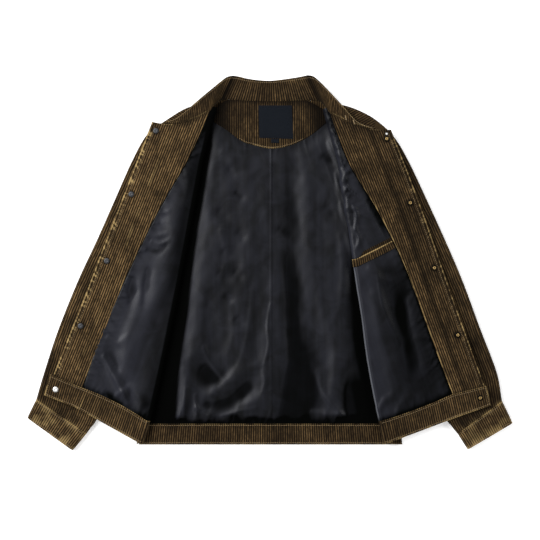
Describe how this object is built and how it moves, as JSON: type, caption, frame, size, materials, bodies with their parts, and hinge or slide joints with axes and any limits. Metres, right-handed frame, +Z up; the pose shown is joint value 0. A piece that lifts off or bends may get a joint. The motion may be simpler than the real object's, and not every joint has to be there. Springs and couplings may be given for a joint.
{
  "type": "corduroy jacket, laid open",
  "caption": "Brown wide-wale corduroy jacket lying open and inside up on its back, with a dark satin lining, raglan sleeves, a stand collar, a waistband and snap fastenings.",
  "frame": {"origin": "middle of the floor under the jacket's box; the underside lies on z = 0", "axes": "+Y from the hem to the collar, +X to the wearer's left, +Z up out of the surface that the jacket lies on"},
  "size_m": [0.914, 0.707, 0.0234],
  "materials": {
    "brown_corduroy": "wide wale, worn lighter along the edges",
    "dark_satin": "smooth, soft sheen",
    "label_weave": "fine flat weave, no lettering",
    "grey_nickel": "dull grey",
    "bright_nickel": "bright",
    "aged_brass": "aged"
  },
  "bodies": {
    "root": {"back_panel": "brown_corduroy", "neck_facing": "brown_corduroy", "back_band": "brown_corduroy", "front_right": "brown_corduroy", "front_left": "brown_corduroy", "placket_right": "brown_corduroy", "placket_left": "brown_corduroy", "facing_right": "brown_corduroy", "facing_left": "brown_corduroy", "front_band_right": "brown_corduroy", "front_band_left": "brown_corduroy", "sleeve_right": "brown_corduroy", "sleeve_left": "brown_corduroy", "cuff_right": "brown_corduroy", "cuff_left": "brown_corduroy", "collar": "brown_corduroy", "pocket_welt": "brown_corduroy", "back_lining_right": "dark_satin", "back_lining_left": "dark_satin", "front_lining_right": "dark_satin", "front_lining_left": "dark_satin", "label": "label_weave", "size_tab": "label_weave", "snap_right_1": "grey_nickel", "snap_right_2": "grey_nickel", "snap_right_3": "grey_nickel", "snap_right_4": "grey_nickel", "snap_right_5": "bright_nickel", "snap_left_1": "aged_brass", "snap_left_2": "aged_brass", "snap_left_3": "aged_brass", "snap_left_4": "aged_brass", "snap_left_5": "aged_brass", "cap_right_1": "grey_nickel", "cap_right_2": "grey_nickel", "cap_right_3": "grey_nickel", "cap_right_4": "grey_nickel", "cap_right_5": "grey_nickel", "cap_left_1": "grey_nickel", "cap_left_2": "grey_nickel", "cap_left_3": "grey_nickel", "cap_left_4": "grey_nickel", "cap_left_5": "grey_nickel"}
  },
  "joints": []
}
